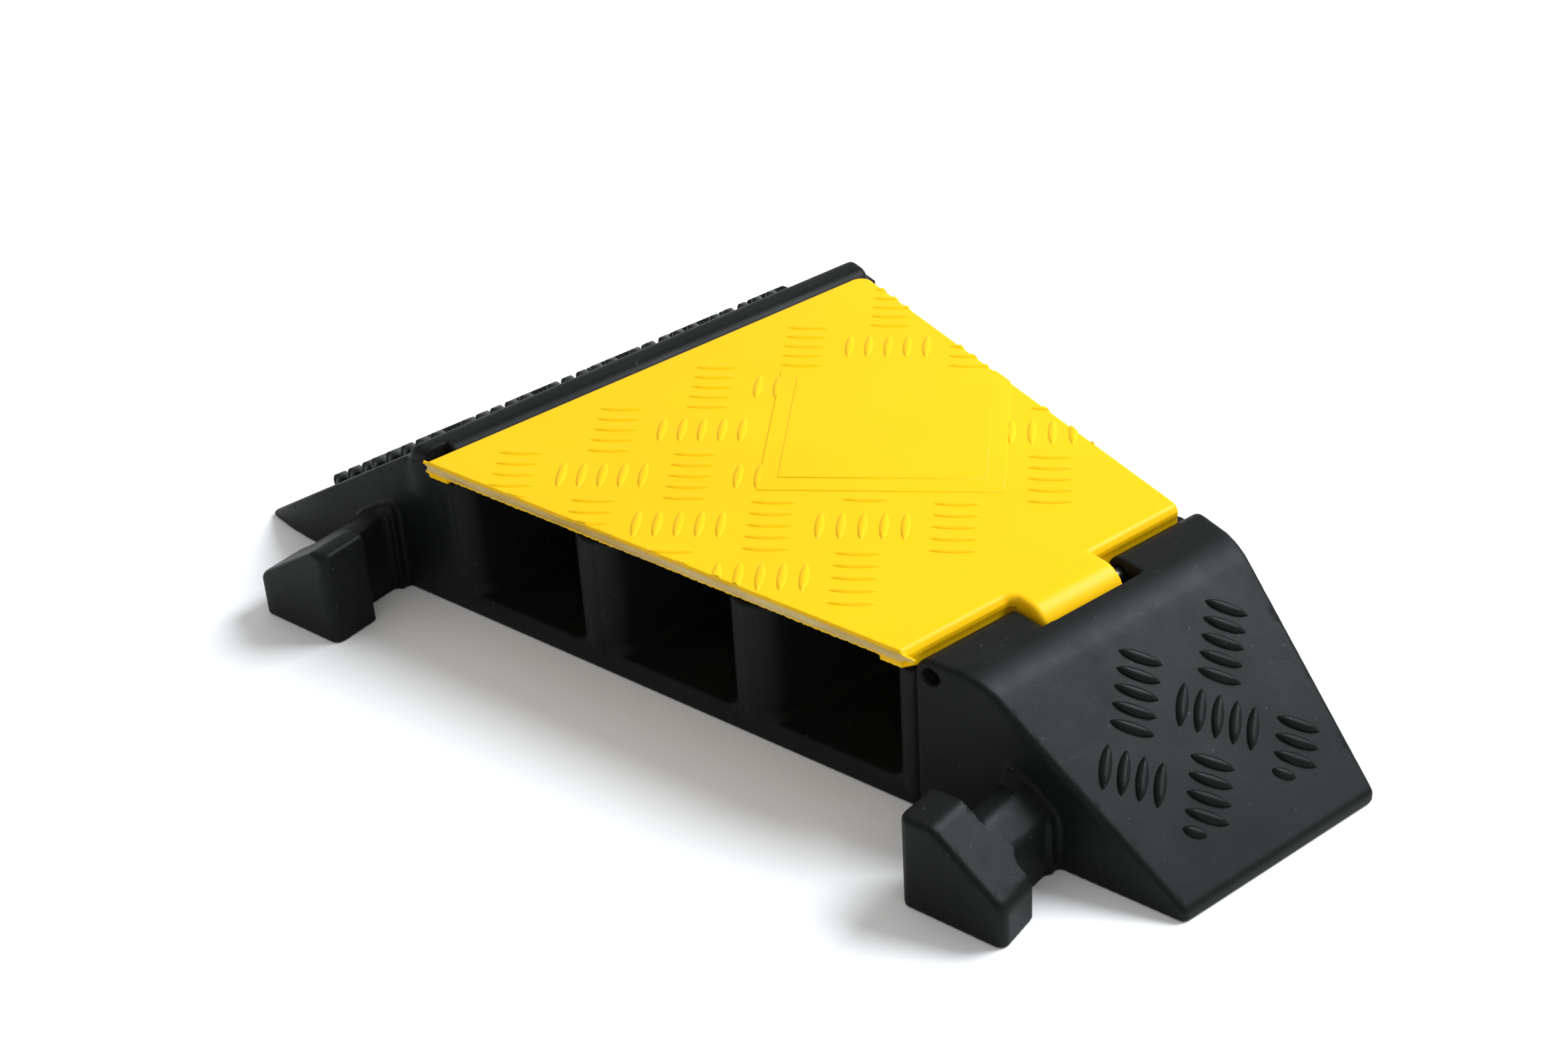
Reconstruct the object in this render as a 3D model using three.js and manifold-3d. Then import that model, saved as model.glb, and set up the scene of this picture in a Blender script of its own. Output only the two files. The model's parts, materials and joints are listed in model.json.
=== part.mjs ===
// Turn section of a three-channel cable protector ramp: a rubber base with two ramps,
// three cable channels, two male connectors and two sockets, closed by a hinged lid.
// Millimetres, +Z up. X runs across the channels, Y along them. The origin is on the
// ground, halfway across the width and halfway along the middle of the section.
import * as THREE from 'three';
import { mergeVertices } from 'three/addons/utils/BufferGeometryUtils.js';
import Module from 'manifold-3d';

const wasm = await Module();
wasm.setup();

// ---- driving dimensions -------------------------------------------------------------
const WIDTH = 500;              // toe to toe
const MID_LENGTH = 207.6;       // near face to far face at x = 0
const NEAR_ANGLE = 12.75;       // degrees between each end face and a square cut
const FAR_ANGLE = 9.75;
const GAP = 0.3;                // clearance between neighbouring solids

const FLOOR_TOP = 10;           // floor plate under the channels
const LEDGE = 67;               // top of the dividers and of the ledges that carry the lid
const STRIP_TOP = 75;           // flat strip beside the hinge
const RAIL_TOP = 80.5;          // rounded rail on the outer side
const CHANNEL = 60;             // channel width
const DIVIDER = 23;             // divider width
const CHANNELS_START = -108;    // outer wall of the first channel
const CHANNELS_END = CHANNELS_START + 3 * CHANNEL + 2 * DIVIDER;
const JAMB_RADIUS = 10;         // rounding of the upright edges at the channel mouths

const OUTER_TOE = 4;            // height of the thin edge of each ramp
const INNER_TOE = 5.5;
const OUTER_CREST = { x: -142, z: 74.5 };
const INNER_CREST_X = 160;
const TOE_CUT_X = -219;         // the outer near toe is cut square from here outwards

const HINGE = { x: 137.5, z: 67.5 };
const BARREL_RADIUS = 7.5;      // round edge of the base about the hinge
const KNUCKLE_RADIUS = 11.5;    // lid tongue about the hinge
const ROD_RADIUS = 3.2;
const BORE_RADIUS = 3.6;
const ROD_NEAR = -68;           // rod ends, and the blind end of its bore
const ROD_FAR = 70;
const BORE_END = 72;
const TONGUE = { near: -21.7, far: 21.8 };
const TONGUE_NOTCH = { near: -22.4, far: 31, radius: 12.1, heel: 3.3 };   // heel: see tongueRoom

const LID_TOP = 79;
const LID_PLATE = 4.5;          // plate thickness
const LID_LEFT = -120.6;
const LID_RIGHT = 129.7;
const LID_NEAR_OVERHANG = 5.6;  // how far the lid stands out over the near end, along Y
const LID_FAR_SETBACK = 8.7;    // how far it stops short of the far end
const FLANGE = 11;              // width of the lid's two edge flanges
const RIB = 15;                 // width of the ribs that rest on the dividers
const RIB_SETBACK = 14;
const RAIL_INNER = -121.2;
const FINGER_NOTCH = { left: -128, right: -120, near: -140, far: -121, bottom: 72 };

// Connector plans: q runs along the end face from x = 0, n outwards from it. The top is
// flat on the channels' side and follows the ramp from slopeFrom outwards.
const TEES = {
  outer: {
    top: 47.5, slope: 0.71, slopeFrom: -157, head: [-194, -146, 30, 53], neck: [-182, -158],
    plan: [[-194, 53, 4], [-146, 53, 4], [-148, 31], [-159, 29], [-157, 7], [-146, 6], [-146, GAP],
      [-184, GAP], [-181, 8], [-177, 19, 8], [-194, 32]],
  },
  inner: {
    top: 45, slope: 0.77, slopeFrom: 177, head: [163.5, 211, 30, 51.5], neck: [176, 199],
    plan: [[211, 51.5, 4], [163.5, 51.5, 4], [165, 29], [184, 31], [178, 6], [178, GAP],
      [203, GAP], [202, 6], [196, 9], [191, 20, 8], [211, 34]],
  },
};
const SOCKET_CLEARANCE = 1.2;

const ARC_STEPS = 5;            // segments in a rounded corner

// ---- plan of the wedge --------------------------------------------------------------
const rad = THREE.MathUtils.degToRad;
const nearY = (x) => -MID_LENGTH / 2 + x * Math.tan(rad(NEAR_ANGLE));
const farY = (x) => MID_LENGTH / 2 - x * Math.tan(rad(FAR_ANGLE));

// ---- solids -------------------------------------------------------------------------
function toSolid(geometry) {
  const bare = geometry.clone();
  bare.deleteAttribute('normal');
  bare.deleteAttribute('uv');
  const merged = mergeVertices(bare, 1e-4);
  return new wasm.Manifold(new wasm.Mesh({
    numProp: 3,
    vertProperties: new Float32Array(merged.attributes.position.array),
    triVerts: new Uint32Array(merged.index.array),
  }));
}

function toGeometry(solid) {
  const mesh = solid.getMesh();
  const geometry = new THREE.BufferGeometry();
  geometry.setAttribute('position', new THREE.BufferAttribute(mesh.vertProperties, 3));
  geometry.setIndex(new THREE.BufferAttribute(mesh.triVerts, 1));
  geometry.computeVertexNormals();
  return geometry;
}

// A closed outline from corners [x, y, radius]; a corner without a radius stays sharp.
function outline(corners) {
  const shape = new THREE.Shape();
  corners.forEach(([x, y, radius = 0], i) => {
    const here = new THREE.Vector2(x, y);
    const before = new THREE.Vector2(...corners.at(i - 1).slice(0, 2)).sub(here).normalize();
    const after = new THREE.Vector2(...corners[(i + 1) % corners.length].slice(0, 2)).sub(here).normalize();
    const half = Math.acos(THREE.MathUtils.clamp(before.dot(after), -1, 1)) / 2;
    const reach = radius ? radius / Math.tan(half) : 0;
    const start = here.clone().addScaledVector(before, reach);
    if (i === 0) shape.moveTo(start.x, start.y);
    else shape.lineTo(start.x, start.y);
    if (!radius) return;
    const centre = here.clone().add(before.clone().add(after).setLength(radius / Math.sin(half)));
    const end = here.clone().addScaledVector(after, reach);
    const from = Math.atan2(start.y - centre.y, start.x - centre.x);
    const to = Math.atan2(end.y - centre.y, end.x - centre.x);
    const turn = Math.atan2(Math.sin(to - from), Math.cos(to - from));
    for (let k = 1; k <= ARC_STEPS; k++) {
      const angle = from + turn * k / ARC_STEPS;
      shape.lineTo(centre.x + radius * Math.cos(angle), centre.y + radius * Math.sin(angle));
    }
  });
  return shape;
}

// A plan outline (x, y) standing from one height to another.
function upright(corners, bottom, top) {
  const geometry = new THREE.ExtrudeGeometry(outline(corners), { depth: top - bottom, bevelEnabled: false });
  return toSolid(geometry.translate(0, 0, bottom));
}

// A section outline (x, z) running along Y from one end to the other.
function along(corners, from, to) {
  const geometry = new THREE.ExtrudeGeometry(outline(corners), { depth: to - from, bevelEnabled: false });
  return toSolid(geometry.rotateX(Math.PI / 2).translate(0, to, 0));
}

// A round bar along Y about the hinge.
function hingeBar(radius, from, to, segments = 32) {
  const geometry = new THREE.CylinderGeometry(radius, radius, to - from, segments);
  return toSolid(geometry.translate(HINGE.x, (from + to) / 2, HINGE.z));
}

// Plan of the wedge between two x values, with the upright edge of a channel mouth rounded.
function wedgePlan(left, right, leftRadius = 0, rightRadius = 0) {
  return [
    [left, nearY(left), leftRadius],
    [right, nearY(right), rightRadius],
    [right, farY(right), rightRadius],
    [left, farY(left), leftRadius],
  ];
}

// ---- connectors ---------------------------------------------------------------------
// Everything below a connector's top, as a section that runs along Y.
function underTop({ top, slope, slopeFrom }, [left, right], from, to) {
  const outside = Math.abs(left) > Math.abs(right) ? left : right;
  const inside = outside === left ? right : left;
  const low = top - Math.abs(outside - slopeFrom) * slope;
  return along([[inside, 0], [outside, 0], [outside, low], [slopeFrom, top], [inside, top]], from, to);
}

// Turns a solid made along X, with its outward side towards -Y, onto an end face.
const place = (solid, degrees, y) => solid.rotate([0, 0, degrees]).translate([0, y, 0]);

function tee(design) {
  const plan = design.plan.map(([q, n, radius]) => [q, -n, radius]);
  const solid = upright(plan, 0, design.top).intersect(underTop(design, design.head, -60, 0));
  return place(solid, NEAR_ANGLE, -MID_LENGTH / 2);
}

// The room that the next section's connector needs, open below and at the far end.
function socket(design) {
  const room = SOCKET_CLEARANCE;
  const roomy = { ...design, top: design.top + room };
  const [headLeft, headRight, headFrom, headTo] = design.head;
  const widen = ([left, right]) => [left - room, right + room];
  const head = underTop(roomy, widen([headLeft, headRight]), -headTo - room, -headFrom + room);
  const neck = underTop(roomy, widen(design.neck), -headFrom, room);
  const space = head.add(neck);
  return place(space.add(space.translate([0, 0, -1])), -FAR_ANGLE, MID_LENGTH / 2);
}

// ---- the base -----------------------------------------------------------------------
function outerRamp() {
  const edge = -WIDTH / 2;
  const section = [
    [edge, 0], [CHANNELS_START, 0], [CHANNELS_START, LEDGE, 2], [RAIL_INNER, LEDGE],
    [RAIL_INNER, RAIL_TOP, 6], [OUTER_CREST.x + 3, RAIL_TOP, 5], [OUTER_CREST.x, OUTER_CREST.z],
    [edge, OUTER_TOE],
  ];
  const plan = [
    [edge, nearY(TOE_CUT_X)], [TOE_CUT_X, nearY(TOE_CUT_X)],
    [CHANNELS_START, nearY(CHANNELS_START), JAMB_RADIUS],
    [CHANNELS_START, farY(CHANNELS_START), JAMB_RADIUS], [edge, farY(edge)],
  ];
  const body = along(section, -WIDTH, WIDTH).intersect(upright(plan, -1, RAIL_TOP + 1));
  const { left, right, near, far, bottom } = FINGER_NOTCH;
  const fingerNotch = upright([[left, near], [right, near], [right, far], [left, far]], bottom, RAIL_TOP + 1);
  return body.subtract(fingerNotch).subtract(socket(TEES.outer));
}

// The notch round the tongue, widened above the heel where the open lid's tongue swings down.
function tongueRoom() {
  const right = HINGE.x + KNUCKLE_RADIUS + GAP;
  const low = HINGE.z + TONGUE_NOTCH.heel;
  const high = STRIP_TOP + 1;
  const { radius, near, far } = TONGUE_NOTCH;
  const swing = along([[HINGE.x, low], [right, low], [right, high], [HINGE.x, high]], near, far);
  return hingeBar(radius, near, far).add(swing);
}

function innerRamp() {
  const edge = WIDTH / 2;
  const quarter = Array.from({ length: 7 }, (_, i) => {
    const angle = Math.PI - (Math.PI / 2) * (i / 6);
    return [HINGE.x + BARREL_RADIUS * Math.cos(angle), HINGE.z + BARREL_RADIUS * Math.sin(angle)];
  });
  const section = [
    [CHANNELS_END, 0], [edge, 0], [edge, INNER_TOE], [INNER_CREST_X, STRIP_TOP, 5],
    ...quarter.reverse(), [HINGE.x - BARREL_RADIUS, LEDGE], [CHANNELS_END, LEDGE, 2],
  ];
  const plan = wedgePlan(CHANNELS_END, edge, JAMB_RADIUS, 0);
  const body = along(section, -WIDTH, WIDTH).intersect(upright(plan, -1, STRIP_TOP + 1));
  const bore = hingeBar(BORE_RADIUS, -WIDTH, BORE_END);
  return body.subtract(tongueRoom()).subtract(bore).subtract(socket(TEES.inner));
}

function channelFloor() {
  return upright(wedgePlan(CHANNELS_START + GAP, CHANNELS_END - GAP), 0, FLOOR_TOP);
}

function divider(index) {
  const left = CHANNELS_START + (index + 1) * CHANNEL + index * DIVIDER;
  return upright(wedgePlan(left, left + DIVIDER, JAMB_RADIUS, JAMB_RADIUS), FLOOR_TOP + GAP, LEDGE);
}

// ---- the lid and its rod ------------------------------------------------------------
const lidNear = (x) => nearY(x) - LID_NEAR_OVERHANG;
const lidFar = (x) => farY(x) - LID_FAR_SETBACK;

function lidBand(left, right, inset, bottom, top) {
  const corners = [
    [left, lidNear(left) + inset], [right, lidNear(right) + inset],
    [right, lidFar(right) - inset], [left, lidFar(left) - inset],
  ];
  return upright(corners, bottom, top);
}

function lid() {
  const underside = LID_TOP - LID_PLATE;
  const bearing = LEDGE + GAP;
  const plate = lidBand(LID_LEFT, LID_RIGHT, 0, underside, LID_TOP);
  const outerFlange = lidBand(LID_LEFT, LID_LEFT + FLANGE, 1, bearing, underside + 1);
  const innerFlange = lidBand(LID_RIGHT - FLANGE, LID_RIGHT, 1, bearing, underside + 1);
  const knuckle = hingeBar(KNUCKLE_RADIUS, TONGUE.near, TONGUE.far);
  const web = along([[LID_RIGHT - 2, LEDGE + GAP], [HINGE.x, LEDGE + GAP], [HINGE.x, LID_TOP], [LID_RIGHT - 2, LID_TOP]],
    TONGUE.near, TONGUE.far);
  let solid = plate.add(outerFlange).add(innerFlange).add(knuckle).add(web);
  for (const index of [0, 1]) {
    const left = CHANNELS_START + (index + 1) * CHANNEL + index * DIVIDER + (DIVIDER - RIB) / 2;
    solid = solid.add(lidBand(left, left + RIB, RIB_SETBACK, bearing, underside + 1));
  }
  return solid.subtract(hingeBar(BORE_RADIUS, -WIDTH, WIDTH));
}

const hingeRod = () => hingeBar(ROD_RADIUS, ROD_NEAR, ROD_FAR, 24);

// ---- materials and assembly ---------------------------------------------------------
const rubber = { color: 0x17181a, roughness: 0.62, metalness: 0 };
const yellowPlastic = { color: 0xf7cf12, roughness: 0.42, metalness: 0 };
const steel = { color: 0x8d9094, roughness: 0.3, metalness: 1 };

const pieces = [
  ['channel_floor', channelFloor(), rubber],
  ['outer_ramp', outerRamp(), rubber],
  ['inner_ramp', innerRamp(), rubber],
  ['outer_divider', divider(0), rubber],
  ['inner_divider', divider(1), rubber],
  ['outer_connector', tee(TEES.outer), rubber],
  ['inner_connector', tee(TEES.inner), rubber],
  ['lid', lid(), yellowPlastic],
  ['hinge_rod', hingeRod(), steel],
];

const ramp = new THREE.Group();
for (const [name, solid, finish] of pieces) {
  const mesh = new THREE.Mesh(toGeometry(solid), new THREE.MeshStandardMaterial(finish));
  mesh.name = name;
  ramp.add(mesh);
}

export default ramp;
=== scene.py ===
"""Looks of a cable protector ramp's turn section: a rubber base, a hinged yellow lid, a steel rod.

Shapes are signed distance fields in millimetres, negative inside, sampled on a grid and
turned into one mesh each, so that every moulded edge has its own radius and every inner
corner its fillet. Tread bars are small solids joined to that mesh. Places and sizes come
from the CAD frame where it has them; the rest are named values.
"""
import json
import math

import bmesh
import bpy
import numpy as np
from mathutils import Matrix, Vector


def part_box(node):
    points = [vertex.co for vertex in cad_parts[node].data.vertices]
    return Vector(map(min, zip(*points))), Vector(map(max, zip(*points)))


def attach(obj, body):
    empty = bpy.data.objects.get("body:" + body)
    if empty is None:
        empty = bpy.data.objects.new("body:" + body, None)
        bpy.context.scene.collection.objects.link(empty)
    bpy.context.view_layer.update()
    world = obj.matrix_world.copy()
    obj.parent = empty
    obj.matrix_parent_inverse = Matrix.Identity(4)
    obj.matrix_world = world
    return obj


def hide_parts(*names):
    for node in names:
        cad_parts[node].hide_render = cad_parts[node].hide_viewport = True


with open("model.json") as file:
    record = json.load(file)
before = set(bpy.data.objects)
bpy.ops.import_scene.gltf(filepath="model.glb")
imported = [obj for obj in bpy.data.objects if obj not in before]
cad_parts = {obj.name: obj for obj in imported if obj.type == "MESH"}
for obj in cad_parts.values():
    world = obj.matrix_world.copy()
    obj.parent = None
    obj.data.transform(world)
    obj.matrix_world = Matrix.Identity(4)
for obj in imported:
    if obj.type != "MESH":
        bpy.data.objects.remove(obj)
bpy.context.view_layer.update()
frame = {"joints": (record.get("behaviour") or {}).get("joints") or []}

import openvdb
from mathutils import Euler, Vector

MM = 0.001
X, Y, Z = range(3)
DIAGONAL = math.sqrt(0.5)


# ---- from the frame, in millimetres ------------------------------------------------------
def span(node, axis):
    """Lowest and highest value of a CAD node along one axis."""
    low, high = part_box(node)
    return low[axis] / MM, high[axis] / MM


GAP = 0.3                                   # clearance between CAD solids that touch
TOE_LEFT, TOE_RIGHT = span("outer_ramp", X)[0], span("inner_ramp", X)[1]
FLOOR_TOP = span("channel_floor", Z)[1]
LEDGE = span("outer_divider", Z)[1]         # what the lid lies on
RAIL_TOP = span("outer_ramp", Z)[1]
STRIP_TOP = span("inner_ramp", Z)[1]        # the flat strip beside the hinge
LID_TOP = span("lid", Z)[1]
LID_LEFT = span("lid", X)[0]
CHANNELS = [
    (span("channel_floor", X)[0] - GAP, span("outer_divider", X)[0]),
    (span("outer_divider", X)[1], span("inner_divider", X)[0]),
    (span("inner_divider", X)[1], span("channel_floor", X)[1] + GAP),
]
HINGE_X, _, HINGE_Z = [v / MM for v in frame["joints"][0]["pos_m"]]


# ---- sizes of the section ----------------------------------------------------------------
NEAR_ANGLE, FAR_ANGLE = math.radians(12.75), math.radians(9.75)   # end faces from a square cut
HALF_LENGTH = 103.8                         # middle of the section to each end face at x = 0
END_EDGE = 2.2                              # rounding between the section and its end faces
TOE_CUT_Y, TOE_CUT_CORNER = -153.6, 4       # the outer near toe is cut square here
GROUND_EDGE = 1

# the ramps: (x, z) of the crest and the foot, and the rounding of crest and toe
CREST_OUTER, CREST_INNER = (-142.0, 74.5), (160.0, STRIP_TOP)
FOOT_OUTER, FOOT_INNER = (TOE_LEFT, 4.0), (TOE_RIGHT, 5.5)
CREST_ROUND_OUTER, CREST_ROUND_INNER, TOE_ROUND = 3, 6, 1.5
OUTER_SINK = 1.6                            # how far the outer ramp's surface lies below its CAD plane

RAIL = (-140.2, -121.3)                     # its sides, as x
RAIL_DROP = 0.7                             # crown below the CAD's
RAIL_CROWN, RAIL_END, RAIL_ROOT = 7, 4, 1.5   # roundings of its top and ends, fillet at its foot
RAIL_DEPTH = 20                             # how far its body reaches below the ledge
RAIL_SETBACK = 4                            # its far end from the far end face

MOUTH_RADIUS, SILL_RADIUS = 9.0, 3          # channel mouths: upright edges, and the floor's edge
CHANNEL_FILLET, CHANNEL_EDGE = 5, 1.6

BARREL, NOTCH, KNUCKLE = 7.5, 12.1, 11.5    # radii about the hinge
NOTCH_SPAN, TONGUE_SPAN = (-22.4, 31.0), (-21.7, 21.8)
NOTCH_FLARE, NOTCH_EDGE = 5, 0.8
HEEL = 3.3                                  # height above the hinge of the flat that clears the open tongue
BORE, BORE_END, BORE_EDGE = 3.75, 72, 0.5   # the rod's bore in the base: radius, blind end, rim
FINGER_X, FINGER_Y, FINGER_FLOOR = (-128, -119), (-136, -121), 72   # notch at the rail's near end
FINGER_EDGE = 1

# connectors, in the near face's frame: q runs along the face, reach is distance out of it
TEES = {
    "outer": {"top": 46.5, "neck_top": 40.0, "slope": 0.66, "from": -155.5, "side": -1,
              "head": (-195.0, -146.5), "reach": (29.0, 53.0), "neck": (-181.0, -157.5),
              "pad": (-182.0, -154.0), "pad_top": 43.5, "scoop": 1.2},
    "inner": {"top": 43.5, "neck_top": 36.5, "slope": 0.77, "from": 177.0, "side": 1,
              "head": (161.5, 209.5), "reach": (29.5, 51.3), "neck": (177.0, 198.3),
              "pad": (177.5, 200.0), "pad_top": 43.0, "scoop": 5.0},
}
HEAD_EDGE, HEAD_BACK_EDGE, HEAD_CORNER = 2.6, 0.8, 4.5
HEAD_LEAN = 1.5                             # how far the head's outer side leans in towards the base
NECK_EDGE, NECK_INNER_FILLET = 1.8, 0.8
NECK_ROOT, NECK_OVERLAP = 4, 4              # how far the neck runs into the base and into the head
PAD_DEPTH, PAD_EDGE, PAD_FILLET = 5.0, 3.4, 3.0   # the thickened root of each neck
TEE_RIDGE = 1.5                             # rounding between the flat and the falling top
TEE_FILLET = 2.4                            # between the connectors and the near face
SOCKET_ROOM, SOCKET_TOP_ROOM, SOCKET_CORNER, SOCKET_EDGE = 0.9, 1.2, 2, 0.8

# tread bars are (length, width, height)
INNER_BAR, OUTER_BAR, STUB_BAR = (20.0, 5.6, 2.0), (20.0, 6.4, 2.8), (11.0, 5.2, 1.8)
TREAD_PITCH = 7.8
INNER_BAR_FOOT, OUTER_BAR_FOOT = 0.6, 0.8 + OUTER_SINK   # depth of a bar's foot below the CAD plane
# groups of bars: (down the slope from the crest, along the channels, whether the bars turn towards
# +y or -y, first and last bar, whether a stub of a bar follows the last)
INNER_TREADS = [
    (33.3, -9.4, 1, -2, 2, False),
    (33.0, 39.6, 1, -2, 2, False),
    (57.2, 16.7, -1, -2, 2, False),
    (57.3, -35.3, -1, -1, 2, False),
    (82.4, -8.7, 1, -2, 1, True),
    (81.5, 42.1, 1, -1, 1, True),
]
GROUP_PITCH = 49
OUTER_TREADS = [(s, -118 + GROUP_PITCH * k, 1, -2, 2, False) for s in (33, 82) for k in range(5)]
OUTER_TREADS += [(57, -87.5 + GROUP_PITCH * k, -1, -2, 2, False) for k in range(5)]

# the lid
LID_NEAR_CUT, LID_FAR_CUT = 5.5, 8.6        # beyond the base's near face, short of its far face
LID_SIDE = HINGE_X - BARREL - GAP           # its inner side, beside the hinge
PLATE = 5.2                                 # thickness
TOP_EDGE, FAR_CORNER, LEFT_EDGE, CUT_EDGE = 3.2, 7, 0.8, 0.3
TONGUE_FILLET, TONGUE_NEAR_EDGE, TONGUE_FAR_EDGE = 5.0, 2.4, 0.6
FLANGE_LEFT, FLANGE_RIGHT = 11, 10.7        # widths of the flanges along both sides
RIBS = ((-44, -29), (39, 54))               # under the lid, over the dividers
RIB_SETBACK = 14                            # their ends from the lid's ends
FLANGE_FADE, FADE_LEFT, FADE_RIGHT = 4.0, 24.0, 12.0   # flanges get so much thinner towards the near cut
FLANGE_ROOT, UNDERSIDE_FILLET = 3, 1        # depth below the top where flanges and ribs start
LID_BORE = 3.6
SAW_GROOVE, GROOVE_DEPTH, GROOVE_WIDTH = 0.7, 0.9, 0.5   # scored line on the sawn near face
SAW_LIP, LIP_RISE, LIP_WIDTH = 0.9, 0.7, 0.8   # torn lip along its lower edge
SAW_SETBACK = 0.3
# two torn shreds at the near end's corners: half their height at the root, how much of it the tip
# loses, thickness, and (x, z) of each root and tip
SHRED_HALF, SHRED_TAPER, SHRED_THICK, SHRED_EDGE, SHRED_FILLET = 2.2, 1.6, 1.9, 0.3, 0.5
LEFT_SHRED = (LID_LEFT + 12, LID_TOP - 3.2), (LID_LEFT - 4, LID_TOP - 1.0)
RIGHT_SHRED = (LID_SIDE - 12, LID_TOP - 3.6), (LID_SIDE + 5.5, LID_TOP - 2.6)

CELL = 38.5                                 # tread cells on the lid, turned 45 degrees
CELL_ORIGIN = (-85.0, -113.9)
LID_BAR, LID_BAR_PITCH, LID_BAR_FOOT = (22.0, 4.6, 0.75), 8.95, 0.5
LID_BAR_REACH = 11                          # half of a bar's length, kept on the lid
LID_COLUMNS, LID_ROWS = 7, 10               # enough half cells to cover the lid
PANEL = {"outer": ((2.77, 5.5), (-0.3, 2.4)), "inner": ((2.98, 5.3), (-0.05, 2.2))}   # in cells
PANEL_MARGIN = 0.1                          # cells free of bars beyond the panel's outer side
PANEL_STEP, PANEL_RIM = 0.5, ((0, -0.6), (0, 0.15), (0.35, 0.5))   # rise; rim as (inset, height)

BASE_STEP, LID_STEP = ((1.0, 0.7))   # grid steps
BAND = 3.0                                  # steps of distance kept on each side of a surface
ADAPTIVITY = 0.02                           # how far flat areas are simplified


# ---- distance fields ---------------------------------------------------------------------
class Grid:
    """Sample points in a box. x, y and z broadcast against each other."""

    def __init__(self, low, high, step):
        axes = []
        for a, b in zip(low, high):
            axes.append(a + step * np.arange(int((b - a) / step) + 2, dtype=np.float32))
        self.x = axes[X][:, None, None]
        self.y = axes[Y][None, :, None]
        self.z = axes[Z][None, None, :]
        self.low, self.step = np.array(low), step


def both(a, b, radius=0.0):
    """What is inside a and b, the edge between them rounded. The radius may vary from place to place."""
    if np.ndim(radius) == 0 and radius == 0:
        return np.maximum(a, b)
    corner = np.hypot(np.maximum(a + radius, 0), np.maximum(b + radius, 0))
    return np.minimum(np.maximum(a, b), -radius) + corner


def either(a, b, radius=0.0):
    """What is inside a or b, the inner corner between them filleted."""
    return -both(-a, -b, radius)


def without(a, b, radius=0.0):
    """a with b cut out of it, the edge of the cut rounded."""
    return both(a, -b, radius)


def between(value, low, high):
    """Distance to a slab."""
    return np.abs(value - (low + high) / 2) - (high - low) / 2


def slope_plane(x, z, start, end):
    """Distance above the line through two (x, z) points."""
    rise = (end[1] - start[1]) / (end[0] - start[0])
    return (z - start[1] - (x - start[0]) * rise) / math.hypot(1, rise)


def quarter_flare(depth, radius):
    """How far a wall gives way at the mouth of a slot whose edges are rounded."""
    left = np.clip(radius - depth, 0, radius)
    return radius - np.sqrt(radius * radius - left * left)


def near_frame(x, y):
    """(distance along the near end face, distance out of it)."""
    c, s = math.cos(NEAR_ANGLE), math.sin(NEAR_ANGLE)
    return x * c + (y + HALF_LENGTH) * s, x * s - (y + HALF_LENGTH) * c


def far_frame(x, y):
    """(distance along the far end face, distance out of it)."""
    c, s = math.cos(FAR_ANGLE), math.sin(FAR_ANGLE)
    return x * c - (y - HALF_LENGTH) * s, x * s + (y - HALF_LENGTH) * c


# ---- from field to mesh ------------------------------------------------------------------
def sample(field, points):
    """The field at points given in grid steps, by linear interpolation."""
    limit = np.array(field.shape) - 2
    cell = np.clip(np.floor(points).astype(int), 0, limit)
    part = points - cell
    total = np.zeros(len(points))
    for corner in np.ndindex(2, 2, 2):
        weight = np.prod(np.where(corner, part, 1 - part), axis=1)
        at = cell + corner
        total += weight * field[at[:, X], at[:, Y], at[:, Z]]
    return total


def field_normals(steps, grid, points):
    """Directions in which the field rises at some points, in millimetres."""
    reach = 0.6                             # grid steps to each side
    at = (points - grid.low) / grid.step
    slopes = [sample(steps, at + reach * axis) - sample(steps, at - reach * axis) for axis in np.eye(3)]
    normals = np.stack(slopes, axis=1)
    return normals / np.maximum(np.linalg.norm(normals, axis=1, keepdims=True), 1e-6)


def new_piece(name, points, faces):
    """An object from points in millimetres."""
    mesh = bpy.data.meshes.new(name)
    mesh.from_pydata((np.array(points) * MM).tolist(), [], faces)
    piece = bpy.data.objects.new(name, mesh)
    bpy.context.scene.collection.objects.link(piece)
    return piece


def moulded(name, grid, field, raised):
    """One closed mesh: the field's zero surface joined with an object of small raised solids."""
    steps = np.clip(field / grid.step, -BAND, BAND).astype(np.float32)
    volume = openvdb.FloatGrid(BAND)
    volume.copyFromArray(steps)
    points, triangles, quads = volume.convertToPolygons(0.0, ADAPTIVITY)
    piece = new_piece(name, points * grid.step + grid.low, triangles.tolist() + quads.tolist())
    for mesh, mark in ((piece.data, 0), (raised.data, 1)):
        marks = mesh.attributes.new("raised", "INT", "FACE")
        marks.data.foreach_set("value", [mark] * len(mesh.polygons))
    join(piece, raised)
    shade(piece.data, steps, grid)
    piece.data.polygons.foreach_set("material_index", [0] * len(piece.data.polygons))
    return piece


def join(piece, other):
    """Add another closed solid to a piece, then drop it."""
    change = piece.modifiers.new("join", "BOOLEAN")
    change.operation = "UNION"
    change.solver = "MANIFOLD"
    change.object = other
    seen = piece.evaluated_get(bpy.context.evaluated_depsgraph_get())
    joined = bpy.data.meshes.new_from_object(seen)
    joined.name = piece.name
    joined.materials.clear()
    piece.modifiers.remove(change)
    piece.data = joined
    bpy.data.objects.remove(other)


def read(items, name, kind=float, width=1):
    """One property of many mesh items as an array."""
    values = np.empty(len(items) * width, kind)
    items.foreach_get(name, values)
    return values if width == 1 else values.reshape(-1, width)


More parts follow.
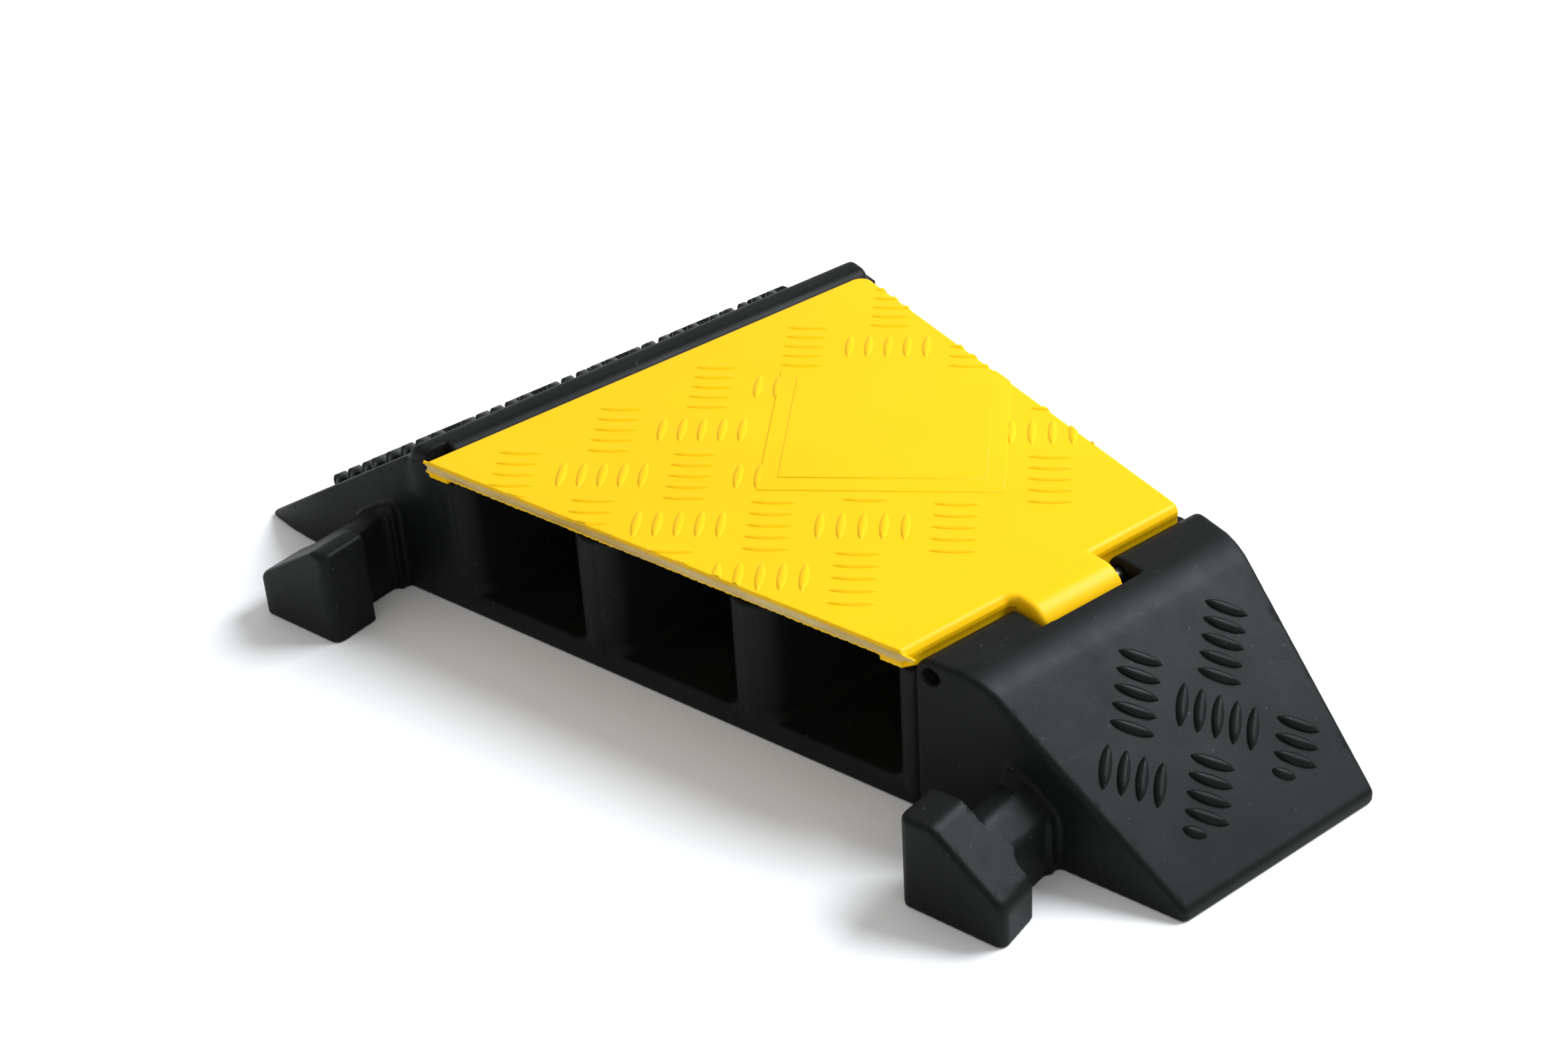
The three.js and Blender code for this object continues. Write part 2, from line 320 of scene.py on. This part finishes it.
def shade(mesh, steps, grid):
    """Shade the moulding by its field and each raised solid by its own faces, with a crease between."""
    mesh.shade_smooth()
    corners = read(mesh.loops, "vertex_index", int)
    places = read(mesh.vertices, "co", float, 3) / MM
    sizes = read(mesh.polygons, "loop_total", int)
    facing = read(mesh.polygons, "normal", float, 3)
    areas = read(mesh.polygons, "area")
    marks = read(mesh.attributes["raised"].data, "value", int)
    on_raised = np.repeat(marks, sizes) == 1
    pulls = np.repeat(facing * areas[:, None], sizes, axis=0)
    summed = np.zeros((len(mesh.vertices), 3))
    np.add.at(summed, corners[on_raised], pulls[on_raised])
    smooth = summed / np.maximum(np.linalg.norm(summed, axis=1, keepdims=True), 1e-12)
    normals = np.where(on_raised[:, None], smooth[corners], field_normals(steps, grid, places)[corners])
    mesh.normals_split_custom_set(normals.tolist())


# ---- tread bars --------------------------------------------------------------------------
BAR_STATIONS, BAR_ARC = 15, 9               # sections along a bar, points round each
BAR_FULLNESS, BAR_POINT = 0.8, 0.02         # how full its outline is, how narrow its tips are


def tread_bar(place, along, up, length, width, height, sink):
    """Points and faces of one bar: a pointed lens with a rounded crest, its foot in the moulding."""
    across = np.cross(up, along)
    points, faces = [], []
    for station in range(BAR_STATIONS):
        t = -math.cos(math.pi * station / (BAR_STATIONS - 1))
        fullness = max((1 - t * t) ** BAR_FULLNESS, BAR_POINT)
        for k in range(BAR_ARC):
            turn = math.pi * k / (BAR_ARC - 1)
            side = math.cos(turn) * fullness * width / 2
            rise = math.sin(turn) * (height + sink) * min(1, 1.5 * fullness) ** 0.7 - sink
            points.append(place + along * t * length / 2 + across * side + up * rise)
    for station in range(BAR_STATIONS - 1):
        a, b = station * BAR_ARC, (station + 1) * BAR_ARC
        for k in range(BAR_ARC):
            after = (k + 1) % BAR_ARC
            faces.append((a + k, a + after, b + after, b + k))
    last = (BAR_STATIONS - 1) * BAR_ARC
    faces.append(tuple(reversed(range(BAR_ARC))))
    faces.append(tuple(last + k for k in range(BAR_ARC)))
    return points, faces


def joined_solids(name, solids):
    """One object from several lists of points and faces."""
    points, faces = [], []
    for solid_points, solid_faces in solids:
        faces += [tuple(len(points) + k for k in face) for face in solid_faces]
        points += list(solid_points)
    return new_piece(name, points, faces)


def ramp_bars(groups, crest, foot, bar, sink):
    """Tread bars on a slope that runs from its crest down to its foot, each an (x, z) point."""
    down = np.array([foot[0] - crest[0], 0, foot[1] - crest[1]])
    down /= np.linalg.norm(down)
    beside = np.array([0.0, 1.0, 0.0])
    up = np.cross(down, beside) * np.sign(down[0])
    start = np.array([crest[0], 0, crest[1]])
    bars = []
    for s0, y0, turn, first, last, stub in groups:
        along = (down + beside * turn) * DIAGONAL
        for k in range(first, last + 1 + stub):
            step = k * TREAD_PITCH * DIAGONAL
            place = start + down * (s0 + step) + beside * (y0 - step * turn)
            size = bar
            if k > last:
                place = place - along * (bar[0] - STUB_BAR[0]) / 2
                size = STUB_BAR
            bars.append(tread_bar(place, along, up, *size, sink=sink))
    return bars


# ---- connectors and sockets --------------------------------------------------------------
def tee_top(tee, q, z, flat, room=0.0):
    """Flat beside the channels, then falling with the ramp."""
    out = (q - tee["from"]) * tee["side"]
    falling = (z - tee["top"] - room + out * tee["slope"]) / math.hypot(1, tee["slope"])
    return both(z - flat - room, falling, TEE_RIDGE)


def head_plan(tee, q, n):
    """The head's outline: its outer side leans in towards the base, its front corners are rounded."""
    near, front = tee["reach"]
    inner, outer = tee["head"] if tee["side"] > 0 else tee["head"][::-1]
    lean = np.clip(front - n, 0, front - near) / (front - near) * HEAD_LEAN
    sides = both((inner - q) * tee["side"], (q - outer) * tee["side"] + lean)
    return both(sides, n - front, HEAD_CORNER)


def connector(tee, g):
    """A T whose neck grows out of a pad on the near face."""
    q, n = near_frame(g.x, g.y)
    back = tee["reach"][0]
    head = both(head_plan(tee, q, n), tee_top(tee, q, g.z, tee["top"]), HEAD_EDGE)
    head = both(head, back - n, HEAD_BACK_EDGE)
    neck_plan = both(between(q, *tee["neck"]), between(n, -NECK_ROOT, back + NECK_OVERLAP))
    neck = both(neck_plan, tee_top(tee, q, g.z, tee["neck_top"]), NECK_EDGE)
    pad_plan = both(between(q, *tee["pad"]), between(n, -NECK_ROOT, PAD_DEPTH))
    pad = both(pad_plan, tee_top(tee, q, g.z, tee["pad_top"]), PAD_EDGE)
    middle = sum(tee["neck"]) / 2
    fillet = np.where((q - middle) * tee["side"] > 0, tee["scoop"], NECK_INNER_FILLET)
    joined = both(either(neck, head, fillet), tee_top(tee, q, g.z, tee["top"]))
    return either(joined, pad, PAD_FILLET)


def socket(tee, g):
    """The hollow that takes the next section's T, in the far face."""
    q, out = far_frame(g.x, g.y)
    (left, right), (near, front) = tee["head"], tee["reach"]
    head = both(between(q, left - SOCKET_ROOM, right + SOCKET_ROOM),
                between(-out, near - SOCKET_ROOM, front + SOCKET_ROOM))
    left, right = tee["neck"]
    neck = both(between(q, left - SOCKET_ROOM, right + SOCKET_ROOM), -out - near - 1)
    return both(either(head, neck, SOCKET_CORNER), tee_top(tee, q, g.z, tee["top"], SOCKET_TOP_ROOM))


# ---- base moulding -----------------------------------------------------------------------
def base_section(x, z):
    """Section of the base across the channels, before the channels are cut."""
    slope = slope_plane(x, z, FOOT_OUTER, CREST_OUTER) + OUTER_SINK
    outer = both(slope, z - CREST_OUTER[1] + OUTER_SINK, CREST_ROUND_OUTER)
    outer = both(outer, x - RAIL[1])
    outer = both(outer, TOE_LEFT - x, TOE_ROUND)
    middle = both(z - LEDGE, between(x, RAIL[1] - 2, HINGE_X - BARREL))
    flank = both(slope_plane(x, z, CREST_INNER, FOOT_INNER), z - STRIP_TOP, CREST_ROUND_INNER)
    inner = both(both(flank, HINGE_X - x), x - TOE_RIGHT, TOE_ROUND)
    below = both(z - HINGE_Z, between(x, HINGE_X - BARREL, HINGE_X + BARREL))
    barrel = np.hypot(x - HINGE_X, z - HINGE_Z) - BARREL
    return either(either(outer, middle), either(either(inner, barrel), below))


def rail(g, ends):
    """The rounded rail along the outer crest."""
    body = both(between(g.x, *RAIL), g.z - RAIL_TOP + RAIL_DROP, RAIL_CROWN)
    return both(both(body, LEDGE - RAIL_DEPTH - g.z), ends, RAIL_END)


def cut_channels(field, g, ends):
    """The three channels, their mouths flared."""
    mouth, sill = quarter_flare(-ends, MOUTH_RADIUS), quarter_flare(-ends, SILL_RADIUS)
    for left, right in CHANNELS:
        slot = both(between(g.x, left, right) - mouth, FLOOR_TOP - sill - g.z, CHANNEL_FILLET)
        field = without(field, slot, CHANNEL_EDGE)
    return field


def cut_hinge(field, g):
    """The notch for the lid's tongue, with a flared near side, and the rod's bore."""
    axis = np.hypot(g.x - HINGE_X, g.z - HINGE_Z)
    beside = quarter_flare(g.x - HINGE_X + BARREL, NOTCH_FLARE)
    above = quarter_flare(STRIP_TOP + GAP - g.z, NOTCH_FLARE)
    notch_ends = np.maximum(NOTCH_SPAN[0] - np.maximum(beside, above) - g.y, g.y - NOTCH_SPAN[1])
    swing = both(between(g.x, HINGE_X, HINGE_X + KNUCKLE + GAP), HINGE_Z + HEEL - g.z)
    field = without(field, both(either(axis - NOTCH, swing), notch_ends), NOTCH_EDGE)
    return without(field, both(axis - BORE, g.y - BORE_END), BORE_EDGE)


def base_field(g):
    """The whole base: section, ends, rail, channels, hinge, connectors, sockets and finger notch."""
    _, near = near_frame(g.x, g.y)
    _, far = far_frame(g.x, g.y)
    near = both(near, TOE_CUT_Y - g.y, TOE_CUT_CORNER)
    ends = np.maximum(near, far)
    field = both(base_section(g.x, g.z), ends, END_EDGE)
    field = either(field, rail(g, np.maximum(near, far + RAIL_SETBACK)), RAIL_ROOT)
    field = cut_hinge(cut_channels(field, g, ends), g)
    for tee in TEES.values():
        field = either(field, connector(tee, g), TEE_FILLET)
        field = without(field, socket(tee, g), SOCKET_EDGE)
    finger = both(between(g.x, *FINGER_X), both(between(g.y, *FINGER_Y), FINGER_FLOOR - g.z))
    field = without(field, finger, FINGER_EDGE)
    return both(field, -g.z, GROUND_EDGE)


def make_base():
    low = [TOE_LEFT - 4, -202, -4]
    high = [TOE_RIGHT + 4, 152, RAIL_TOP + 4]
    grid = Grid(low, high, BASE_STEP)
    bars = ramp_bars(INNER_TREADS, CREST_INNER, FOOT_INNER, INNER_BAR, INNER_BAR_FOOT)
    bars += ramp_bars(OUTER_TREADS, CREST_OUTER, FOOT_OUTER, OUTER_BAR, OUTER_BAR_FOOT)
    return moulded("base_moulding", grid, base_field(grid), joined_solids("ramp_bars", bars))


# ---- lid ---------------------------------------------------------------------------------
def on_top(i, j):
    """A place on the lid's top in cells: i runs towards +x +y and j towards -x +y."""
    x = CELL_ORIGIN[0] + (i - j) * DIAGONAL * CELL
    y = CELL_ORIGIN[1] + (i + j) * DIAGONAL * CELL
    return np.array([x, y, LID_TOP])


def on_panel(i, j):
    """Whether a bar's middle is on the panel or just beyond its outer side."""
    (i0, i1), (j0, j1) = PANEL["outer"]
    return i0 < i < i1 and j0 < j < j1 + PANEL_MARGIN


def on_lid(place):
    """Whether most of a bar about a place is on the lid."""
    x, y, _ = place
    _, near = near_frame(x, y)
    _, far = far_frame(x, y)
    inside = LID_LEFT + LID_BAR_REACH < x < HINGE_X - BARREL - LID_BAR_REACH
    room = LID_BAR_REACH * 0.6
    return inside and near < LID_NEAR_CUT + room and far < -LID_FAR_CUT + room


def lid_bars():
    """Groups of five bars, turned a quarter from one cell to the next, up to the blank panel."""
    up = np.array([0.0, 0.0, 1.0])
    lengthwise = (on_top(1, 0) - on_top(0, 0)) / CELL
    crosswise = (on_top(0, 1) - on_top(0, 0)) / CELL
    bars = []
    for column in range(LID_COLUMNS):
        for row in range(-1, LID_ROWS):
            if (column + row) % 2:
                continue
            ci, cj = (row + column) / 2, (row - column) / 2
            for k in range(-2, 3):
                shift = k * LID_BAR_PITCH / CELL
                bi, bj = (ci, cj + shift) if column % 2 == 0 else (ci + shift, cj)
                along = lengthwise if column % 2 == 0 else crosswise
                if not on_panel(bi, bj) and on_lid(on_top(bi, bj)):
                    bars.append(tread_bar(on_top(bi, bj), along, up, *LID_BAR, sink=LID_BAR_FOOT))
    return bars


def panel_plates():
    """Two low steps with bevelled rims, the smaller one on the larger."""
    plates = []
    for level, ((i0, i1), (j0, j1)) in enumerate(PANEL.values()):
        rings = []
        for inset, rise in PANEL_RIM:
            g = -inset / CELL
            corners = [(i0 - g, j0 - g), (i1 + g, j0 - g), (i1 + g, j1 + g), (i0 - g, j1 + g)]
            lift = np.array([0, 0, rise + PANEL_STEP * level])
            rings += [on_top(i, j) + lift for i, j in corners]
        faces = [(3, 2, 1, 0), (8, 9, 10, 11)]
        for ring in (0, 4):
            for k in range(4):
                after = (k + 1) % 4
                faces.append((ring + k, ring + after, ring + 4 + after, ring + 4 + k))
        plates.append((rings, faces))
    return plates


def cut_at(piece, point, normal):
    """Cut off what lies beyond a plane and close the cut."""
    shape = bmesh.new()
    shape.from_mesh(piece.data)
    everything = shape.verts[:] + shape.edges[:] + shape.faces[:]
    bmesh.ops.bisect_plane(shape, geom=everything, plane_co=[v * MM for v in point], plane_no=normal,
                           clear_outer=True)
    open_edges = [edge for edge in shape.edges if edge.is_boundary]
    bmesh.ops.holes_fill(shape, edges=open_edges)
    shape.to_mesh(piece.data)
    shape.free()


def shred(x, z, near, root, tip):
    """A pointed shred of plastic along the near end, from its root to its tip, each an (x, z) point."""
    reach = abs(tip[0] - root[0])
    part = (x - root[0]) / (tip[0] - root[0])
    middle = root[1] + (tip[1] - root[1]) * part
    tapered = np.abs(z - middle) - SHRED_HALF + SHRED_TAPER * part
    outline = both(tapered, reach * np.maximum(-part, part - 1))
    return both(outline, between(near, -SHRED_THICK, 2.0), SHRED_EDGE)


def saw_cut(x, y, z, near):
    """The near end: a rough sawn face with a lip of torn plastic along its lower edge."""
    q, _ = near_frame(x, y)
    wander = 0.35 * np.sin(q * 0.11 + 1) + 0.25 * np.sin(q * 0.37) + 0.12 * np.sin(q * 1.3 + 2)
    depth = LID_TOP - z
    groove = SAW_GROOVE * np.exp(-((depth - GROOVE_DEPTH - 0.4 * wander) / GROOVE_WIDTH) ** 2)
    torn = 1 + 0.5 * np.sin(q * 2.1) * np.sin(q * 0.7)
    lip = SAW_LIP * np.exp(-((depth - PLATE + LIP_RISE + 0.3 * wander) / LIP_WIDTH) ** 2) * torn
    return near + groove - lip + SAW_SETBACK


def lid_underside(x, z, near, far):
    """Flanges along both sides, thinner towards the near end, and two ribs."""
    flanges = either(x - LID_LEFT - FLANGE_LEFT, LID_SIDE - FLANGE_RIGHT - x)
    ribs = either(between(x, *RIBS[0]), between(x, *RIBS[1]))
    ribs = both(both(ribs, near + RIB_SETBACK), far + RIB_SETBACK)
    lift = FLANGE_FADE * np.clip(1 + near / np.where(x < 0, FADE_LEFT, FADE_RIGHT), 0, 1)
    carried = both(either(both(flanges, x - LID_SIDE), ribs), z - LID_TOP + FLANGE_ROOT)
    return both(carried, LEDGE + GAP + lift - z)


def lid_tongue(x, y, z):
    """The knuckle about the hinge and the web that carries it."""
    axis = np.hypot(x - HINGE_X, z - HINGE_Z)
    web = both(between(x, LID_SIDE - 3, HINGE_X), between(z, LEDGE + GAP, LID_TOP))
    tongue = both(either(axis - KNUCKLE, web), TONGUE_SPAN[0] - y, TONGUE_NEAR_EDGE)
    return both(tongue, y - TONGUE_SPAN[1], TONGUE_FAR_EDGE)


def lid_field(g):
    """The whole lid: plate, underside, tongue, torn near end and bore."""
    x, y, z = g.x, g.y, g.z
    _, near = near_frame(x, y)
    _, far = far_frame(x, y)
    near, far = near - LID_NEAR_CUT, far + LID_FAR_CUT
    right = either(x - LID_SIDE, TONGUE_SPAN[0] - y, TONGUE_FILLET)
    right = np.maximum(right, np.minimum(x - LID_SIDE, y - TONGUE_SPAN[1]))
    slab = both(both(z - LID_TOP, right, TOP_EDGE), both(LID_LEFT - x, far, FAR_CORNER), LEFT_EDGE)
    slab = both(slab, x - HINGE_X)
    plate = both(slab, LID_TOP - PLATE - z)
    body = either(plate, both(lid_underside(x, z, near, far), slab), UNDERSIDE_FILLET)
    body = either(body, lid_tongue(x, y, z))
    shreds = either(shred(x, z, near, *LEFT_SHRED), shred(x, z, near, *RIGHT_SHRED))
    body = either(body, shreds, SHRED_FILLET)
    body = both(body, saw_cut(x, y, z, near), CUT_EDGE)
    body = both(body, far, CUT_EDGE)
    return without(body, np.hypot(x - HINGE_X, z - HINGE_Z) - LID_BORE, CUT_EDGE)


def make_lid():
    low = [LID_LEFT - 3, -147, 53]
    high = [HINGE_X + KNUCKLE + 3, 122, LID_TOP + 4]
    grid = Grid(low, high, LID_STEP)
    raised = joined_solids("lid_relief", lid_bars())
    for plate in panel_plates():
        join(raised, new_piece("panel_step", *plate))
    c, s = math.cos(NEAR_ANGLE), math.sin(NEAR_ANGLE)
    cut_at(raised, (0, -HALF_LENGTH - (LID_NEAR_CUT - 0.4) / c, 0), (s, -c, 0))
    c, s = math.cos(FAR_ANGLE), math.sin(FAR_ANGLE)
    cut_at(raised, (0, HALF_LENGTH - (LID_FAR_CUT + 0.1) / c, 0), (s, c, 0))
    return moulded("tread_lid", grid, lid_field(grid), raised)


# ---- hinge rod ---------------------------------------------------------------------------
ROD_SIDES = 48


def make_rod():
    """A drawn rod with chamfered, slightly domed ends, turned about its own axis."""
    radius = (span("hinge_rod", Z)[1] - span("hinge_rod", Z)[0]) / 2
    start, end = span("hinge_rod", Y)
    cap = [(0, 0), (radius * 0.45, 0.05), (radius - 0.7, 0.3), (radius, 1.1)]   # (radius, from the end)
    profile = [(r, start + y) for r, y in cap] + [(r, end - y) for r, y in reversed(cap)]
    points, faces = [], []
    for r, y in profile:
        for k in range(ROD_SIDES if r else 1):
            turn = 2 * math.pi * k / ROD_SIDES
            points.append((HINGE_X + r * math.cos(turn), y, HINGE_Z + r * math.sin(turn)))
    rings = len(profile) - 2
    last = 1 + (rings - 1) * ROD_SIDES
    for k in range(ROD_SIDES):
        after = (k + 1) % ROD_SIDES
        faces.append((0, 1 + k, 1 + after))
        faces.append((len(points) - 1, last + after, last + k))
        for ring in range(rings - 1):
            a, b = 1 + ring * ROD_SIDES, 1 + (ring + 1) * ROD_SIDES
            faces.append((a + k, b + k, b + after, a + after))
    piece = new_piece("hinge_rod_drawn", points, faces)
    piece.data.shade_smooth()
    return piece


# ---- materials ---------------------------------------------------------------------------
class Nodes:
    """A material's node tree, with short calls for the nodes used here."""

    def __init__(self, name):
        self.material = bpy.data.materials.new(name)
        self.material.use_nodes = True
        self.tree = self.material.node_tree
        self.shader = self.tree.nodes["Principled BSDF"]
        coordinates = self.tree.nodes.new("ShaderNodeTexCoord")
        self.place = coordinates.outputs["Object"]

    def link(self, output, socket):
        self.tree.links.new(output, socket)

    def put(self, value, socket):
        """Link an output or set a number or a colour."""
        if isinstance(value, bpy.types.NodeSocket):
            self.link(value, socket)
        elif isinstance(value, tuple):
            socket.default_value = (*value, 1)
        else:
            socket.default_value = value

    def noise(self, scale, detail=2.0, roughness=0.5, stretch=(1, 1, 1)):
        mapping = self.tree.nodes.new("ShaderNodeMapping")
        mapping.inputs["Scale"].default_value = stretch
        self.link(self.place, mapping.inputs["Vector"])
        node = self.tree.nodes.new("ShaderNodeTexNoise")
        node.inputs["Scale"].default_value = scale
        node.inputs["Detail"].default_value = detail
        node.inputs["Roughness"].default_value = roughness
        self.link(mapping.outputs["Vector"], node.inputs["Vector"])
        return node.outputs["Fac"]

    def ramp(self, value, *stops):
        """A value turned into numbers or colours, each stop a (value, number or colour)."""
        node = self.tree.nodes.new("ShaderNodeValToRGB")
        elements = node.color_ramp.elements
        for element, (position, color) in zip(elements, stops):
            element.position = position
            element.color = (*color, 1) if isinstance(color, tuple) else (color, color, color, 1)
        self.link(value, node.inputs["Fac"])
        return node.outputs["Color"]

    def mix(self, amount, a, b):
        node = self.tree.nodes.new("ShaderNodeMix")
        node.data_type = "RGBA"
        self.put(amount, node.inputs["Factor"])
        self.put(a, node.inputs["A"])
        self.put(b, node.inputs["B"])
        return node.outputs["Result"]

    def math(self, operation, *values):
        node = self.tree.nodes.new("ShaderNodeMath")
        node.operation = operation
        for socket, value in zip(node.inputs, values):
            self.put(value, socket)
        return node.outputs["Value"]

    def cut_face(self):
        """1 on the sawn face at the lid's near end, 0 elsewhere, with a torn edge."""
        parts = self.tree.nodes.new("ShaderNodeSeparateXYZ")
        self.link(self.place, parts.inputs["Vector"])
        x, y, z = (self.math("DIVIDE", parts.outputs[axis], MM) for axis in "XYZ")
        leaning = self.math("MULTIPLY", x, math.sin(NEAR_ANGLE))
        beyond = self.math("MULTIPLY_ADD", y, -math.cos(NEAR_ANGLE), leaning)
        cut = HALF_LENGTH * math.cos(NEAR_ANGLE) + LID_NEAR_CUT - 0.55
        out = self.math("MULTIPLY", self.math("SUBTRACT", beyond, cut), 6.0)
        tear = self.math("MULTIPLY_ADD", self.noise(60, 3, 0.6), 1.6, -0.8)
        above_lip = self.math("ADD", self.math("SUBTRACT", z, LID_TOP - PLATE + 1.0), tear)
        below_top = self.math("SUBTRACT", LID_TOP - 0.25, z)
        inside = self.math("MINIMUM", self.math("MINIMUM", above_lip, below_top), out)
        return self.ramp(self.math("MULTIPLY_ADD", inside, 2.0, 0.5), (0.0, 0.0), (1.0, 1.0))

    def bump(self, *layers):
        """Bumps on top of each other, each (height, depth in millimetres)."""
        normal = None
        for height, depth in layers:
            node = self.tree.nodes.new("ShaderNodeBump")
            node.inputs["Strength"].default_value = 1.0
            node.inputs["Distance"].default_value = depth * MM
            self.link(height, node.inputs["Height"])
            if normal:
                self.link(normal, node.inputs["Normal"])
            normal = node.outputs["Normal"]
        self.link(normal, self.shader.inputs["Normal"])


def rubber():
    """Black rubber: cloudy, with specks of dust, pale scuffs and a fine grain."""
    n = Nodes("moulded_rubber")
    tone = n.ramp(n.noise(22, 4, 0.6), (0.3, (0.0050, 0.0056, 0.0056)), (0.7, (0.0080, 0.0088, 0.0088)))
    dust = n.ramp(n.noise(420, 2, 0.5), (0.70, 0.0), (0.78, 1.0))
    specks = n.mix(dust, tone, (0.035, 0.037, 0.038))
    scuff = n.ramp(n.noise(60, 5, 0.7, (1, 0.25, 1)), (0.62, 0.0), (0.80, 0.45))
    n.link(n.mix(scuff, specks, (0.022, 0.024, 0.025)), n.shader.inputs["Base Color"])
    n.link(n.ramp(n.noise(35, 5, 0.65), (0.3, 0.38), (0.75, 0.50)), n.shader.inputs["Roughness"])
    n.shader.inputs["Specular IOR Level"].default_value = 0.09
    n.bump((n.noise(14, 2), 0.25), (n.noise(700, 3, 0.6), 0.03))
    return n.material


def yellow_plastic():
    """Yellow plastic, slightly uneven, paler and streaky where it was sawn."""
    n = Nodes("yellow_plastic")
    tone = n.ramp(n.noise(9, 3, 0.5), (0.3, (0.81, 0.455, 0.002)), (0.7, (0.84, 0.485, 0.003)))
    grain = n.noise(90, 4, 0.6, (0.15, 0.15, 1))
    streaks = n.ramp(grain, (0.35, (0.42, 0.25, 0.03)), (0.6, (0.62, 0.47, 0.20)))
    n.link(n.mix(n.cut_face(), tone, streaks), n.shader.inputs["Base Color"])
    n.link(n.ramp(n.noise(40, 4, 0.6), (0.3, 0.33), (0.7, 0.42)), n.shader.inputs["Roughness"])
    n.shader.inputs["Specular IOR Level"].default_value = 0.11
    n.bump((n.noise(12, 2), 0.15), (n.noise(900, 2, 0.5), 0.012))
    return n.material


def drawn_steel():
    """Drawn steel, with fine lines along the rod."""
    n = Nodes("drawn_steel")
    n.link(n.ramp(n.noise(60, 3, 0.5, (1, 0.05, 1)), (0.3, 0.30), (0.7, 0.45)), n.shader.inputs["Base Color"])
    n.shader.inputs["Metallic"].default_value = 1.0
    n.link(n.ramp(n.noise(1400, 2, 0.5, (1, 0.02, 1)), (0.3, 0.25), (0.7, 0.4)), n.shader.inputs["Roughness"])
    n.bump((n.noise(1800, 2, 0.5, (1, 0.02, 1)), 0.01))
    return n.material


# ---- camera, floor and light -------------------------------------------------------------
CAMERA_PLACE, CAMERA_TURN, LENS = (0.74883, -0.60284, 0.65602), (57.490, 3.013, 50.858), 59.41
FLOOR_SIZE, FLOOR_TONE = 6.0, 0.93
KEY_PLACE, KEY_SIZE, KEY_POWER, KEY_COLOR = (0.55, 1.25, 1.55), 1.2, 62, (0.90, 0.96, 1.0)
WORLD_STRENGTH = 0.6


def make_camera():
    data = bpy.data.cameras.new("camera")
    data.sensor_width = 36.0
    data.lens = LENS
    data.clip_start, data.clip_end = 0.05, 50.0
    camera = bpy.data.objects.new("camera", data)
    camera.location = CAMERA_PLACE
    camera.rotation_euler = Euler([math.radians(a) for a in CAMERA_TURN])
    bpy.context.scene.collection.objects.link(camera)
    bpy.context.scene.camera = camera


def make_floor():
    corners = [(x * FLOOR_SIZE, y * FLOOR_SIZE, 0) for x, y in ((-1, -1), (1, -1), (1, 1), (-1, 1))]
    mesh = bpy.data.meshes.new("floor")
    mesh.from_pydata(corners, [], [(0, 1, 2, 3)])
    floor = bpy.data.objects.new("floor", mesh)
    bpy.context.scene.collection.objects.link(floor)
    material = bpy.data.materials.new("pale_floor")
    material.use_nodes = True
    shader = material.node_tree.nodes["Principled BSDF"]
    shader.inputs["Base Color"].default_value = (FLOOR_TONE, FLOOR_TONE, FLOOR_TONE, 1)
    shader.inputs["Roughness"].default_value = 0.9
    shader.inputs["Specular IOR Level"].default_value = 0.1
    mesh.materials.append(material)


def make_light():
    """One large soft light behind the object, and a plain white world."""
    world = bpy.data.worlds.new("studio")
    world.use_nodes = True
    background = world.node_tree.nodes["Background"]
    background.inputs["Color"].default_value = (1, 1, 1, 1)
    background.inputs["Strength"].default_value = WORLD_STRENGTH
    bpy.context.scene.world = world
    data = bpy.data.lights.new("key", "AREA")
    data.shape = "DISK"
    data.size, data.energy, data.color = KEY_SIZE, KEY_POWER, KEY_COLOR
    light = bpy.data.objects.new("key", data)
    light.location = KEY_PLACE
    light.rotation_euler = (-Vector(KEY_PLACE)).to_track_quat("-Z", "Y").to_euler()
    bpy.context.scene.collection.objects.link(light)
    bpy.context.scene.view_settings.view_transform = "Standard"


# ---- assembly ----------------------------------------------------------------------------
base = make_base()
base.data.materials.append(rubber())
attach(base, "base")
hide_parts("channel_floor", "outer_ramp", "inner_ramp", "outer_divider", "inner_divider",
            "outer_connector", "inner_connector")

lid = make_lid()
lid.data.materials.append(yellow_plastic())
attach(lid, "lid")
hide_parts("lid")

rod = make_rod()
rod.data.materials.append(drawn_steel())
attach(rod, "base")
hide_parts("hinge_rod")

make_floor()
make_light()
make_camera()
